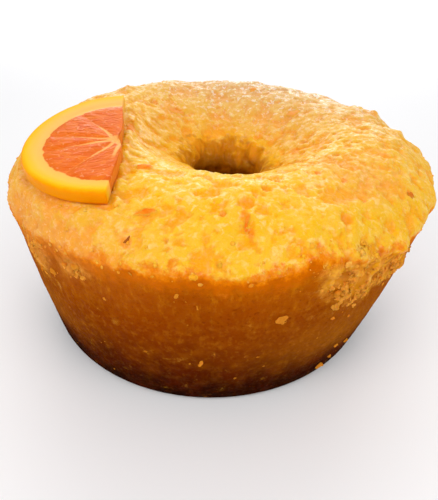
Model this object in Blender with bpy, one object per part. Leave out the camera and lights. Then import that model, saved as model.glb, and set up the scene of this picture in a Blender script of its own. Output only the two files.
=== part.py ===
"""Orange ring cake with half a slice of orange lying on its shoulder.

The cake was baked in a tapered ring pan and stands as it was baked, with its narrow end down.
Its wall and the tube through its middle took the pan's smooth shape, and its crown rose freely
above the pan's rim, so it is lumpy and uneven. Metres, +Z up, origin on the flat base under the
middle of the cake's widest outline. Places are measured from the middle of the rim.
"""
import math

import bmesh
import bpy
import numpy as np
from mathutils import Vector

# The cake's wall, from the flat base up to the rim where the pan ended
RIM_CENTRE = (-0.0017, 0.0002)
RIM_RADIUS = 0.100
RIM_HEIGHT = 0.078
BASE_RADIUS = 0.0863
BASE_CENTRE = (-0.0045, -0.0006)
BASE_EDGE_ROUND = 0.0035
WALL_BELLY = 0.0010

# The rim runs full at the back right and flat on the left, and hangs low over the torn crust at
# the front right. Its waves are (waves in a turn, start in radians, height in metres).
RIM_FULL = {"at": math.radians(42), "width": 0.45, "amount": 0.0012}
RIM_FLAT = {"at": math.radians(182), "width": 0.60, "amount": 0.0018}
RIM_TORN = {"at": math.radians(-50), "width": 0.20, "amount": 0.0038}
RIM_RIPPLES = ((3, 0.7, 0.0004), (5, 2.0, 0.0003), (17, 1.1, 0.0003), (29, 0.4, 0.0003))
RIM_WAVES = ((4, 0.5, 0.0007), (11, 1.9, 0.0005))
RIM_RAGS = ((23, 0.0, 0.0004),)
RAG_PATCHES = ((3, 1.0, 1.0),)

# The crown above the rim: a rounded shoulder, a crest and a slope down to the hole
CREST_RADIUS = 0.062
CREST_HEIGHT = 0.0958
CREST_LEAN = 0.0026
CREST_LEAN_TOWARDS = math.radians(140)
SHOULDER_FULLNESS = 2.5
INNER_SLOPE_DROP = 0.0165
INNER_SLOPE_POWER = 1.5
INNER_SLOPE_LIMIT = 1.3

# The hole that the pan's tube left, and the lip where the crown rolls into it
LIP_RADIUS = 0.0232
LIP_DEPTH = 0.0060
LIP_SLOPE = 0.50
TUBE_TOP_RADIUS = 0.0172
TUBE_BASE_RADIUS = 0.0225
TUBE_FOOT_ROUND = 0.0015
TUBE_RIPPLES = ((3, 0.0, 0.0007),)
TUBE_RAGS = ((7, 0.0, 0.0007),)
TUBE_RAG_PATCHES = ((1, 2.0, 1.0),)
HOLE_TOP_CENTRE = (0.0020, -0.0020)
HOLE_BASE_CENTRE = (-0.0038, -0.0006)

# Scars where the crust tore off the wall: angle, height, half width and half height in metres,
# and depth
WALL_SCARS = (
    (math.radians(-50), 0.0610, 0.0170, 0.0120, 0.0022),
    (math.radians(-68), 0.0660, 0.0110, 0.0080, 0.0011),
    (math.radians(-122), 0.0690, 0.0120, 0.0070, 0.0012),
    (math.radians(64), 0.0640, 0.0150, 0.0090, 0.0014),
    (math.radians(148), 0.0660, 0.0110, 0.0100, 0.0012),
)

# The mesh: columns round the axis, rows along the outline, gathered near the rim
COLUMNS = 128
WALL_ROWS = 9
SHOULDER_ROWS = 10
INNER_ROWS = 8
LIP_ROWS = 4
TUBE_ROWS = 4
EDGE_ROWS = 3
GATHERED_SHARE = 0.75
GATHERED_POWER = 0.62

# Relief of the crown, placed by a seeded draw: broad lumps all over, small crags near the rim
LUMPS_ALL_OVER = {"count": 150, "inner": 0.28, "outer": 0.97, "width": (0.0055, 0.0095),
                  "rise": (-0.0011, 0.0014), "seed": 41}
CRAGS_AT_SHOULDER = {"count": 95, "inner": 0.78, "outer": 1.02, "width": (0.0032, 0.0052),
                     "rise": (-0.0012, 0.0019), "seed": 9}

# The half slice of orange: a thin disc cut through its middle, tilted and sagging a little
SLICE_CORE = (-0.0415, -0.0389, 0.1017)
SLICE_LEAN = (0.001, -0.126)
SLICE_FACING = math.radians(185.8)
SLICE_HALF_CUT = 0.0400
SLICE_REACH = 0.0370
SLICE_HALF_ANGLE = math.radians(89)
SLICE_THICKNESS = 0.0055
SLICE_SAG = 1.7
SLICE_SEGMENTS = 5
SLICE_COLUMNS_A_SEGMENT = 8
PITH_SHARE = 0.20
FLESH_STOPS_SHORT = 0.01
SLICE_RINGS = (0.0, 0.16, 0.36, 0.56, 0.74, 1 - PITH_SHARE, 0.90, 0.97, 1.0)
RIND_EDGE_ROUND = 0.0010
FLESH_CROWN = 0.0005
MEMBRANE_DIP = 0.0004

# The crown under the slice: it swells to carry the fruit and is pressed flat by it
REST_GAP = 0.0003
BED_MARGIN = 0.0060
BED_SLOPE = 0.9
SWELL_START = -0.0020
SWELL_REACH = 0.0130
SWELL_SHARE = 0.80
SAG_PASSES = 3

CAKE_COLOUR = (0.80, 0.42, 0.05, 1.0)
CAKE_ROUGHNESS = 0.50
ORANGE_COLOUR = (0.90, 0.30, 0.06, 1.0)
ORANGE_ROUGHNESS = 0.35


def clear_scene():
    for old in list(bpy.data.objects):
        bpy.data.objects.remove(old, do_unlink=True)


def smooth_step(low, high, value):
    share = np.clip((value - low) / (high - low), 0.0, 1.0)
    return share * share * (3.0 - 2.0 * share)


def from_rim_centre(point):
    return point + Vector((*RIM_CENTRE, 0.0))


def angle_between(angle, centre):
    return (angle - centre + math.pi) % (2.0 * math.pi) - math.pi


def hump(angle, at, width, amount):
    """A single swelling of a round line."""
    return amount * np.exp(-(angle_between(angle, at) / width) ** 2)


def waves(angle, rows):
    """Waves round a line, each as (waves in a turn, start, height)."""
    return sum(height * np.sin(turns * angle + start) for turns, start, height in rows)


def rim_radius(angle):
    """Radius of the rim, a little squashed on the left and full at the back right."""
    full = hump(angle, **RIM_FULL) - hump(angle, **RIM_FLAT)
    return RIM_RADIUS + full + waves(angle, RIM_RIPPLES)


def rim_height(angle):
    """The rim wanders up and down, and hangs lowest over the torn crust at the front right."""
    ragged = waves(angle, RIM_RAGS) * waves(angle, RAG_PATCHES)
    return RIM_HEIGHT - hump(angle, **RIM_TORN) + waves(angle, RIM_WAVES) + ragged


def crest_height(angle):
    """The crown rose higher at the back left than at the front right."""
    return CREST_HEIGHT + CREST_LEAN * np.cos(angle - CREST_LEAN_TOWARDS)


def crown_height(radius, angle):
    """Smooth height of the crown: shoulder outside the crest, hollow slope inside it."""
    rim = rim_radius(angle)
    crest = crest_height(angle)
    out = np.clip((radius - CREST_RADIUS) / (rim - CREST_RADIUS), 0.0, 1.0)
    inward = (CREST_RADIUS - radius) / (CREST_RADIUS - LIP_RADIUS)
    inward = np.clip(inward, 0.0, INNER_SLOPE_LIMIT)
    shoulder = (crest - rim_height(angle)) * out ** SHOULDER_FULLNESS
    return crest - shoulder - INNER_SLOPE_DROP * inward ** INNER_SLOPE_POWER


def scar_depth(angle, height):
    total = 0.0
    for scar_angle, scar_height, half_width, half_height, depth in WALL_SCARS:
        across = angle_between(angle, scar_angle) * RIM_RADIUS / half_width
        upward = (height - scar_height) / half_height
        total += depth * math.exp(-across ** 2 - upward ** 2)
    return total


def draw_lumps(count, inner, outer, width, rise, seed):
    """Seeded list of (x, y, width, rise) for swellings and dents between two radii."""
    draw = np.random.default_rng(seed)
    lumps = []
    for _ in range(count):
        angle = draw.uniform(0.0, 2.0 * math.pi)
        radius = math.sqrt(draw.uniform(inner ** 2, outer ** 2)) * RIM_RADIUS
        size = (draw.uniform(*width), draw.uniform(*rise))
        lumps.append((radius * math.cos(angle), radius * math.sin(angle), *size))
    return np.array(lumps)


LUMPS = np.vstack((draw_lumps(**LUMPS_ALL_OVER), draw_lumps(**CRAGS_AT_SHOULDER)))


def lump_height(x, y):
    away = ((x - LUMPS[:, 0]) ** 2 + (y - LUMPS[:, 1]) ** 2) / LUMPS[:, 2] ** 2
    return float((LUMPS[:, 3] * np.exp(-away)).sum())


def cake_outline(angle):
    """Points of one column of the cake as (radius, height, centre, looseness).

    Looseness is 0 on faces that took the pan's shape and 1 on the free crown.
    """
    rim = float(rim_radius(angle))
    edge = float(rim_height(angle))
    points = []
    floor_radius = BASE_RADIUS - BASE_EDGE_ROUND
    points.append((floor_radius, 0.0, BASE_CENTRE, 0.0))
    for row in range(1, EDGE_ROWS + 1):
        turn = row / EDGE_ROWS * math.pi / 2
        radius = floor_radius + BASE_EDGE_ROUND * math.sin(turn)
        points.append((radius, BASE_EDGE_ROUND * (1 - math.cos(turn)), BASE_CENTRE, 0.0))
    for row in range(1, WALL_ROWS + 1):
        share = row / WALL_ROWS
        height = BASE_EDGE_ROUND + (edge - BASE_EDGE_ROUND) * share
        centre = [BASE_CENTRE[0] * (1 - share), BASE_CENTRE[1] * (1 - share)]
        belly = WALL_BELLY * math.sin(math.pi * share)
        radius = BASE_RADIUS + (rim - BASE_RADIUS) * share + belly - scar_depth(angle, height)
        points.append((radius, height, centre, 0.0))
    for row in range(1, SHOULDER_ROWS + 1):
        gathered = 1.0 - (1.0 - row / SHOULDER_ROWS) ** GATHERED_POWER
        share = gathered * GATHERED_SHARE + (1.0 - GATHERED_SHARE) * row / SHOULDER_ROWS
        radius = rim + (CREST_RADIUS - rim) * share
        points.append((radius, float(crown_height(radius, angle)), (0.0, 0.0), 1.0))
    for row in range(1, INNER_ROWS + 1):
        share = row / INNER_ROWS
        radius = CREST_RADIUS + (LIP_RADIUS - CREST_RADIUS) * share
        centre = [HOLE_TOP_CENTRE[0] * share, HOLE_TOP_CENTRE[1] * share]
        points.append((radius, float(crown_height(radius, angle)), centre, 1.0))
    lip_height = points[-1][1]
    ripple = float(waves(angle, TUBE_RIPPLES))
    ripple += float(waves(angle, TUBE_RAGS) * waves(angle, TUBE_RAG_PATCHES))
    for row in range(1, LIP_ROWS + 1):
        turn = row / LIP_ROWS * math.pi / 2
        inward = (LIP_RADIUS - TUBE_TOP_RADIUS) * math.sin(turn)
        height = lip_height - LIP_SLOPE * inward - LIP_DEPTH * (1 - math.cos(turn))
        radius = LIP_RADIUS - inward + ripple * math.sin(turn)
        points.append((radius, height, HOLE_TOP_CENTRE, math.cos(turn)))
    top = points[-1][1]
    for row in range(1, TUBE_ROWS + 1):
        share = row / TUBE_ROWS
        radius = TUBE_TOP_RADIUS + (TUBE_BASE_RADIUS - TUBE_TOP_RADIUS) * share
        centre = [a + (b - a) * share for a, b in zip(HOLE_TOP_CENTRE, HOLE_BASE_CENTRE)]
        height = top + (TUBE_FOOT_ROUND - top) * share
        points.append((radius + ripple * (1 - share), height, centre, 0.0))
    points.append((TUBE_BASE_RADIUS + TUBE_FOOT_ROUND, 0.0, HOLE_BASE_CENTRE, 0.0))
    middle = (TUBE_BASE_RADIUS + floor_radius) / 2
    points.append((middle, 0.0, BASE_CENTRE, 0.0))
    return points


def slice_frame():
    """Core, outward, sideways and up directions of the half slice."""
    up = Vector((SLICE_LEAN[0], SLICE_LEAN[1], 1.0)).normalized()
    out = Vector((math.cos(SLICE_FACING), math.sin(SLICE_FACING), 0.0))
    out = (out - up * out.dot(up)).normalized()
    return Vector(SLICE_CORE), out, up.cross(out), up


def slice_point(reach, side, lift):
    """A point of the slice from its reach out from the cut, its place along it and its lift."""
    core, out, along, up = slice_frame()
    sag = SLICE_SAG * max(reach, 0.0) ** 2
    return from_rim_centre(core + out * reach + along * side + up * (lift - sag))


def slice_underside(x, y):
    """Height of the slice's underside over (x, y), and how far that lies beyond its outline."""
    core, out, along, up = slice_frame()
    drop = 0.0
    for _ in range(SAG_PASSES):
        height = core.z - (up.x * (x - core.x) + up.y * (y - core.y) + drop) / up.z
        place = Vector((x, y, height)) - core
        reach, side = place.dot(out), place.dot(along)
        drop = SLICE_THICKNESS + SLICE_SAG * max(reach, 0.0) ** 2
    size = math.hypot(reach / SLICE_REACH, side / SLICE_HALF_CUT)
    return height, max((size - 1.0) * SLICE_REACH, -reach)


def carry_slice(x, y, height):
    """Height of the crown where the slice lies on it: swollen up to it, then pressed flat."""
    underside, beyond = slice_underside(x, y)
    swell = SWELL_SHARE * (1.0 - smooth_step(SWELL_START, SWELL_REACH, beyond))
    height += max(underside - height, 0.0) * float(swell)
    return min(height, underside - REST_GAP + max(beyond - BED_MARGIN, 0.0) * BED_SLOPE)


def make_cake():
    grid = []
    for column in range(COLUMNS):
        angle = 2.0 * math.pi * column / COLUMNS
        ring = []
        for radius, height, centre, loose in cake_outline(angle):
            x = centre[0] + radius * math.cos(angle)
            y = centre[1] + radius * math.sin(angle)
            if loose > 0.0:
                height = carry_slice(x, y, height + loose * lump_height(x, y))
            ring.append(from_rim_centre(Vector((x, y, height))))
        grid.append(ring)
    return grid


def add_object(name, mesh_bm, colour, roughness):
    mesh = bpy.data.meshes.new(name)
    mesh_bm.to_mesh(mesh)
    mesh_bm.free()
    thing = bpy.data.objects.new(name, mesh)
    bpy.context.scene.collection.objects.link(thing)
    mesh.shade_smooth()
    material = bpy.data.materials.new(name + "_material")
    material.use_nodes = True
    shader = material.node_tree.nodes["Principled BSDF"]
    shader.inputs["Base Color"].default_value = colour
    shader.inputs["Roughness"].default_value = roughness
    shader.inputs["Metallic"].default_value = 0.0
    mesh.materials.append(material)


def build_cake():
    grid = make_cake()
    bm = bmesh.new()
    verts = [[bm.verts.new(point) for point in ring] for ring in grid]
    rows = len(verts[0])
    for column in range(COLUMNS):
        here, there = verts[column], verts[(column + 1) % COLUMNS]
        for row in range(rows):
            above = (row + 1) % rows
            bm.faces.new((here[row], there[row], there[above], here[above]))
    bmesh.ops.recalc_face_normals(bm, faces=bm.faces)
    add_object("cake", bm, CAKE_COLOUR, CAKE_ROUGHNESS)


def build_slice():
    """Closed half disc: top and bottom polar grids joined by the rind and the cut."""
    columns = SLICE_SEGMENTS * SLICE_COLUMNS_A_SEGMENT
    bm = bmesh.new()

    def vertex(share, turn, top):
        reach = SLICE_REACH * share * math.cos(turn)
        side = SLICE_HALF_CUT * share * math.sin(turn)
        segment = (turn + SLICE_HALF_ANGLE) / (2 * SLICE_HALF_ANGLE) * SLICE_SEGMENTS
        ridge = abs(math.sin(math.pi * segment))
        flesh = 0.0 < share < 1 - PITH_SHARE - FLESH_STOPS_SHORT
        lift = 0.0 if top else -SLICE_THICKNESS
        if top and flesh:
            lift += FLESH_CROWN * ridge - MEMBRANE_DIP * (1 - ridge)
        if share == 1.0:
            lift += -RIND_EDGE_ROUND if top else RIND_EDGE_ROUND
        return bm.verts.new(slice_point(reach, side, lift))

    layers = []
    for top in (True, False):
        core = vertex(0.0, 0.0, top)
        fan = []
        for column in range(columns + 1):
            turn = -SLICE_HALF_ANGLE + 2 * SLICE_HALF_ANGLE * column / columns
            fan.append([core] + [vertex(share, turn, top) for share in SLICE_RINGS[1:]])
        layers.append(fan)
    upper, lower = layers
    for fan in layers:
        for here, there in zip(fan, fan[1:]):
            bm.faces.new((here[0], here[1], there[1]))
            for row in range(1, len(SLICE_RINGS) - 1):
                bm.faces.new((here[row], here[row + 1], there[row + 1], there[row]))
    for a, b, c, d in zip(upper, upper[1:], lower, lower[1:]):
        bm.faces.new((a[-1], b[-1], d[-1], c[-1]))
    for column in (0, columns):
        for row in range(len(SLICE_RINGS) - 1):
            bm.faces.new((upper[column][row], upper[column][row + 1],
                          lower[column][row + 1], lower[column][row]))
    bmesh.ops.recalc_face_normals(bm, faces=bm.faces)
    add_object("orange_slice", bm, ORANGE_COLOUR, ORANGE_ROUGHNESS)


clear_scene()
build_cake()
build_slice()
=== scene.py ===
import math

import bmesh
import bpy
import numpy as np
from mathutils import Matrix, Vector
from mathutils.bvhtree import BVHTree


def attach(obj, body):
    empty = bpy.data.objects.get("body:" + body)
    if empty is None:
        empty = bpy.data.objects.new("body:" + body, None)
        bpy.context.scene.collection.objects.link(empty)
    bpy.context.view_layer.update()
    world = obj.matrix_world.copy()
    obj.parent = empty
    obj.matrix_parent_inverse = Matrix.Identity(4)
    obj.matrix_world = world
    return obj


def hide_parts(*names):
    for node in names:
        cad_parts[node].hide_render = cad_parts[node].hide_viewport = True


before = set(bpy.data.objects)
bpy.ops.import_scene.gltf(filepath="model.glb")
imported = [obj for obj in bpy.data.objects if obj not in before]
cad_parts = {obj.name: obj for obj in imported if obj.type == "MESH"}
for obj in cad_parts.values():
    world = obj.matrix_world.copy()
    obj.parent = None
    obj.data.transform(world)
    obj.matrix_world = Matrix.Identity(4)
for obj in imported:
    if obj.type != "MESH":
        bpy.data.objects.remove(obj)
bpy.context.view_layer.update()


# The cake: one body of moist orange sponge, baked in a tapered ring pan and turned out.
# The pan browned its wall to a smooth crust and its tube left the hole. The crown rose free
# above the pan's rim, coarse and open, and was soaked with orange syrup.

RIM_CENTRE = np.array((-0.0017, 0.0002))
RIM_RADIUS = 0.100
RIM_HEIGHT = 0.078
BASE_RADIUS = 0.0863
BASE_CENTRE = RIM_CENTRE + (-0.0045, -0.0006)
BASE_EDGE_ROUND = 0.0035
CREST_RADIUS = 0.062
CREST_HEIGHT = 0.0958
SHOULDER_FULLNESS = 2.5
LIP_RADIUS = 0.0232
LIP_DEPTH = 0.0060
LIP_SLOPE = 0.50
TUBE_TOP_RADIUS = 0.0172
TUBE_BASE_RADIUS = 0.0225
TUBE_FOOT_RADIUS = 0.0240
HOLE_TOP_CENTRE = RIM_CENTRE + (0.0020, -0.0020)
HOLE_BASE_CENTRE = RIM_CENTRE + (-0.0038, -0.0006)

# How far the crease under the crown drops, or climbs below zero, with the angle in degrees and
# the width in radians
CREASE_SHIFTS = ((-0.0035, -71, 0.055), (0.0050, -30, 0.26), (0.0030, -143, 0.30))

# Points round one ring of the mesh, by how far out it lies, and rings along each stretch
OUTER_COLUMNS = 640
INNER_COLUMNS = 320
TUBE_COLUMNS = 160
WALL_RINGS = 48
CROWN_RINGS = 70
FUNNEL_RINGS = 28
LIP_RINGS = 8
TUBE_RINGS = 32
UNDERSIDE_RINGS = 9
EDGE_RINGS = 5
FUNNEL_START = 0.045
WALL_RINGS_CROWD = 1.3
CROWN_RINGS_CROWD = 0.25
FUNNEL_DROP = 0.010
SEARCH_REACH = 0.015

# Places on the cake: angle in degrees, distance from the rim's axis, height, then half the
# width and half the height of the spot as it is seen from the front. Crags also have how far
# they stand out.
TEARS = (
    (-56, 0.096, 0.0650, 0.0165, 0.0125),
    (-46, 0.095, 0.0620, 0.0100, 0.0090),
    (-65, 0.099, 0.0720, 0.0090, 0.0080),
    (-122, 0.098, 0.0690, 0.0080, 0.0045),
    (-137, 0.097, 0.0640, 0.0085, 0.0095),
    (64, 0.097, 0.0650, 0.0150, 0.0065),
    (55, 0.097, 0.0610, 0.0060, 0.0070),
    (148, 0.097, 0.0670, 0.0110, 0.0070),
    (155, 0.097, 0.0630, 0.0050, 0.0080),
    (-5, 0.097, 0.0600, 0.0080, 0.0060),
)
PITS = (
    (-83.5, 0.0765, 0.0920, 0.0034, 0.0026),
    (-24.0, 0.0757, 0.0930, 0.0030, 0.0026),
    (-60.0, 0.0886, 0.0880, 0.0034, 0.0020),
    (-50.6, 0.0824, 0.0890, 0.0018, 0.0016),
    (-0.1, 0.0685, 0.0940, 0.0026, 0.0022),
    (0.4, 0.0398, 0.0860, 0.0018, 0.0020),
    (-34.6, 0.0582, 0.0930, 0.0016, 0.0016),
    (-70.7, 0.0625, 0.0940, 0.0014, 0.0016),
    (-76.7, 0.0694, 0.0940, 0.0022, 0.0016),
    (139.5, 0.0488, 0.0950, 0.0024, 0.0024),
    (-89.4, 0.0808, 0.0910, 0.0011, 0.0012),
    (-100.8, 0.0922, 0.0860, 0.0010, 0.0010),
    (-52.2, 0.0950, 0.0608, 0.0022, 0.0034),
    (-63.6, 0.0986, 0.0721, 0.0016, 0.0022),
    (-119.1, 0.0980, 0.0678, 0.0018, 0.0020),
)
STAINS = (
    (-119.5, 0.0594, 0.0950, 0.0030, 0.0032),
    (130.6, 0.0387, 0.0920, 0.0052, 0.0026),
    (-9.1, 0.0345, 0.0850, 0.0036, 0.0034),
    (37.3, 0.0475, 0.0900, 0.0040, 0.0034),
    (-107.4, 0.0842, 0.0900, 0.0042, 0.0018),
    (-54.7, 0.0641, 0.0940, 0.0022, 0.0018),
    (-49.9, 0.0724, 0.0920, 0.0018, 0.0015),
    (-34.8, 0.0912, 0.0860, 0.0024, 0.0024),
    (-84.3, 0.0826, 0.0910, 0.0020, 0.0030),
    (-83.4, 0.0890, 0.0880, 0.0015, 0.0034),
    (-108.9, 0.0945, 0.0840, 0.0028, 0.0024),
    (-122.9, 0.0719, 0.0930, 0.0018, 0.0040),
    (-160.0, 0.0440, 0.0950, 0.0020, 0.0050),
)
CRAGS = (
    (17.0, 0.0815, 0.0920, 0.0060, 0.0050, 0.0024),
    (23.0, 0.0775, 0.0935, 0.0040, 0.0040, 0.0012),
    (2.0, 0.0860, 0.0900, 0.0030, 0.0030, 0.0012),
    (-23.0, 0.0975, 0.0800, 0.0030, 0.0060, 0.0007),
    (140.0, 0.0700, 0.0975, 0.0045, 0.0040, 0.0016),
    (-146.0, 0.0988, 0.0800, 0.0090, 0.0080, 0.0014),
    (-136.0, 0.0975, 0.0680, 0.0090, 0.0090, 0.0014),
    (139.0, 0.0164, 0.0766, 0.0030, 0.0050, 0.0034),
    (35.0, 0.0201, 0.0759, 0.0028, 0.0050, 0.0034),
    (98.0, 0.0185, 0.0740, 0.0026, 0.0060, 0.0016),
    (-95.0, 0.0995, 0.0785, 0.0030, 0.0020, 0.0008),
    (-47.0, 0.0985, 0.0735, 0.0080, 0.0030, 0.0020),
    (-42.0, 0.0965, 0.0605, 0.0050, 0.0050, 0.0024),
    (-62.0, 0.0970, 0.0650, 0.0050, 0.0060, 0.0012),
    (-53.0, 0.0950, 0.0600, 0.0050, 0.0050, 0.0010),
    (155.0, 0.0190, 0.0740, 0.0030, 0.0060, 0.0022),
    (60.0, 0.0190, 0.0700, 0.0028, 0.0070, 0.0020),
)


def swell(value, middle, width):
    """From 0 up to 1 where the value is at the middle, and down again."""
    return np.exp(-((value - middle) / width) ** 2)


def hump(angle, degrees, width):
    """Swell round an angle in degrees, with its width in radians."""
    away = (angle - math.radians(degrees) + math.pi) % (2.0 * math.pi) - math.pi
    return swell(away, 0.0, width)


def rim_radius(angle):
    """Radius of the rim, a little squashed on the left and full at the back right."""
    full = 0.0012 * hump(angle, 42, 0.45)
    flat = 0.0018 * hump(angle, 182, 0.60)
    ripple = 0.0004 * np.sin(3 * angle + 0.7) + 0.0003 * np.sin(5 * angle + 2.0)
    ragged = 0.0003 * np.sin(17 * angle + 1.1) + 0.0003 * np.sin(29 * angle + 0.4)
    return RIM_RADIUS + full - flat + ripple + ragged


def rim_height(angle):
    """The rim wanders up and down, and hangs lowest over the torn crust at the front right."""
    torn = 0.0038 * hump(angle, -50, 0.20)
    waves = 0.0007 * np.sin(4 * angle + 0.5) + 0.0005 * np.sin(11 * angle + 1.9)
    ragged = 0.0004 * np.sin(23 * angle) * np.sin(3 * angle + 1.0)
    return RIM_HEIGHT - torn + waves + ragged


def set_out(name, data):
    """An object with that mesh, light or camera, put in the scene."""
    thing = bpy.data.objects.new(name, data)
    bpy.context.scene.collection.objects.link(thing)
    return thing


def add_layers(mesh, **layers):
    """Store one number for each point of a mesh in each layer."""
    for title, values in layers.items():
        made = mesh.attributes.new(title, "FLOAT", "POINT")
        made.data.foreach_set("value", np.asarray(values, dtype=np.float32))


def built(name, bm, **layers):
    """A smooth object from a mesh that is ready, with its faces turned outwards."""
    bmesh.ops.recalc_face_normals(bm, faces=bm.faces)
    mesh = bpy.data.meshes.new(name)
    bm.to_mesh(mesh)
    bm.free()
    add_layers(mesh, **layers)
    mesh.shade_smooth()
    return set_out(name, mesh)


def surface_of(thing):
    """Search tree of an object's surface, with its modifiers."""
    return BVHTree.FromObject(thing, bpy.context.evaluated_depsgraph_get())


def smooth_solid(node):
    """Search tree of a CAD node's surface, rounded between its facets."""
    bm = bmesh.new()
    bm.from_mesh(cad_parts[node].data)
    bmesh.ops.remove_doubles(bm, verts=bm.verts, dist=0.00001)
    bmesh.ops.join_triangles(bm, faces=bm.faces, angle_face_threshold=0.7,
                             angle_shape_threshold=1.2)
    thing = built("rounded_solid", bm)
    rounding = thing.modifiers.new("rounding", "SUBSURF")
    rounding.levels = rounding.render_levels = 2
    tree = surface_of(thing)
    bpy.data.objects.remove(thing, do_unlink=True)
    return tree


def ring(angle, radius, height, centre):
    points = np.empty((len(angle), 3))
    points[:, 0] = centre[0] + radius * np.cos(angle)
    points[:, 1] = centre[1] + radius * np.sin(angle)
    points[:, 2] = height
    return points


def settle(points, sight=None):
    """Points moved onto the cake's solid: along a line of sight, or to the nearest place."""
    settled = []
    for index, point in enumerate(points):
        hit = None
        if sight is not None:
            way = Vector(sight[index])
            start = Vector(point) - way * SEARCH_REACH
            hit = CAKE_SOLID.ray_cast(start, way, 2.0 * SEARCH_REACH)[0]
        settled.append(hit or CAKE_SOLID.find_nearest(Vector(point))[0])
    return np.array(settled)


def outline_rings(angle):
    """Rings up the wall and over the crown, found square to a plain outline of the cake."""
    rim, edge = rim_radius(angle), rim_height(angle)
    rows = []
    for share in 1.0 - np.linspace(1.0, 0.0, WALL_RINGS + 1)[1:] ** WALL_RINGS_CROWD:
        height = BASE_EDGE_ROUND + (edge - BASE_EDGE_ROUND) * share
        centre = BASE_CENTRE + (RIM_CENTRE - BASE_CENTRE) * share
        rows.append((BASE_RADIUS + (rim - BASE_RADIUS) * share, height, centre, height - edge))
    for share in np.linspace(0.0, 1.0, CROWN_RINGS + 1)[1:]:
        crowded = (1.0 - CROWN_RINGS_CROWD) * share + CROWN_RINGS_CROWD * share ** 2
        radius = rim + (FUNNEL_START - rim) * crowded
        out = np.clip((radius - CREST_RADIUS) / (rim - CREST_RADIUS), 0.0, 1.0)
        height = CREST_HEIGHT - (CREST_HEIGHT - edge) * out ** SHOULDER_FULLNESS
        rows.append((radius, height, RIM_CENTRE, rim - radius))
    steps = np.gradient(np.array([(radius, height) for radius, height, *_ in rows]), axis=0)
    rings = []
    for row, (radius, height, centre, above) in enumerate(rows):
        outward, upward = steps[max(row - 3, 0):row + 4].mean(axis=0)
        sight = -ring(angle, upward, -outward, (0.0, 0.0))
        sight /= np.linalg.norm(sight, axis=1)[:, None]
        rings.append((settle(ring(angle, radius, height, centre), sight), above, 0.0))
    return rings


def cake_rings():
    """Rings of points from the hole's foot out, up the wall, over the crown and down the hole.

    Each comes with its distance above the rim and its depth in the hole, from 0 to 1.
    """
    around = {count: np.arange(count) * 2.0 * math.pi / count
              for count in (TUBE_COLUMNS, INNER_COLUMNS, OUTER_COLUMNS)}
    flat_radius = BASE_RADIUS - BASE_EDGE_ROUND
    rings = []

    for share in np.linspace(0.0, 1.0, UNDERSIDE_RINGS):
        radius = TUBE_FOOT_RADIUS + (flat_radius - TUBE_FOOT_RADIUS) * share
        count = TUBE_COLUMNS if share < 0.5 else INNER_COLUMNS if share < 0.75 else OUTER_COLUMNS
        centre = HOLE_BASE_CENTRE + (BASE_CENTRE - HOLE_BASE_CENTRE) * share
        rings.append((ring(around[count], radius, 0.0, centre), -RIM_HEIGHT, 0.0))

    angle = around[OUTER_COLUMNS]
    for turn in np.linspace(0.0, math.pi / 2, EDGE_RINGS + 1)[1:]:
        radius = flat_radius + BASE_EDGE_ROUND * math.sin(turn)
        height = BASE_EDGE_ROUND * (1.0 - math.cos(turn))
        rings.append((settle(ring(angle, radius, height, BASE_CENTRE)), height - RIM_HEIGHT, 0.0))
    rings += outline_rings(angle)

    angle = around[INNER_COLUMNS]
    down = np.zeros((INNER_COLUMNS, 3)) + (0.0, 0.0, -1.0)
    for row in range(1, FUNNEL_RINGS + 1):
        share = row / FUNNEL_RINGS
        radius = FUNNEL_START + (LIP_RADIUS - FUNNEL_START) * share
        centre = RIM_CENTRE + (HOLE_TOP_CENTRE - RIM_CENTRE) * share
        points = settle(ring(angle, radius, CREST_HEIGHT - FUNNEL_DROP * share, centre), down)
        rings.append((points, RIM_RADIUS - radius, 0.0))
    lip_height = rings[-1][0][:, 2]
    for turn in np.linspace(0.0, math.pi / 2, LIP_RINGS + 1)[1:]:
        inner = (LIP_RADIUS - TUBE_TOP_RADIUS) * math.sin(turn)
        height = lip_height - LIP_SLOPE * inner - LIP_DEPTH * (1.0 - math.cos(turn))
        points = settle(ring(angle, LIP_RADIUS - inner, height, HOLE_TOP_CENTRE))
        rings.append((points, RIM_RADIUS - LIP_RADIUS + inner, 0.0))

    angle = around[TUBE_COLUMNS]
    outward = ring(angle, 1.0, 0.0, (0.0, 0.0))
    top = float(rings[-1][0][:, 2].mean())
    for share in np.linspace(0.0, 1.0, TUBE_RINGS + 1)[1:-1]:
        radius = TUBE_TOP_RADIUS + (TUBE_BASE_RADIUS - TUBE_TOP_RADIUS) * share
        centre = HOLE_TOP_CENTRE + (HOLE_BASE_CENTRE - HOLE_TOP_CENTRE) * share
        points = settle(ring(angle, radius, top * (1.0 - share), centre), outward)
        rings.append((points, RIM_RADIUS - TUBE_TOP_RADIUS, share))
    return rings


def join_rings(bm, here, there):
    """Faces between two neighbouring rings, one of which may have twice the points."""
    if len(here) == len(there):
        for a, b, c, d in zip(here, np.roll(here, -1), np.roll(there, -1), there):
            bm.faces.new((a, b, c, d))
        return
    few, many = sorted((list(here), list(there)), key=len)
    for index, corner in enumerate(few):
        after = few[(index + 1) % len(few)]
        first, middle = many[2 * index], many[2 * index + 1]
        last = many[(2 * index + 2) % len(many)]
        bm.faces.new((first, middle, corner))
        bm.faces.new((middle, after, corner))
        bm.faces.new((middle, last, after))


def join_all(rings):
    """A closed mesh from rings of points."""
    bm = bmesh.new()
    made = [np.array([bm.verts.new(point) for point in points]) for points, *_ in rings]
    for here, there in zip(made, made[1:] + made[:1]):
        join_rings(bm, here, there)
    return bm


CAKE_SOLID = smooth_solid("cake")
rings = cake_rings()
cake_points = np.vstack([points for points, *_ in rings])


def spread(column):
    """One of the numbers that come with each ring, for each of its points."""
    return np.concatenate([np.broadcast_to(row[column], (len(row[0]),)) for row in rings])


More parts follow.
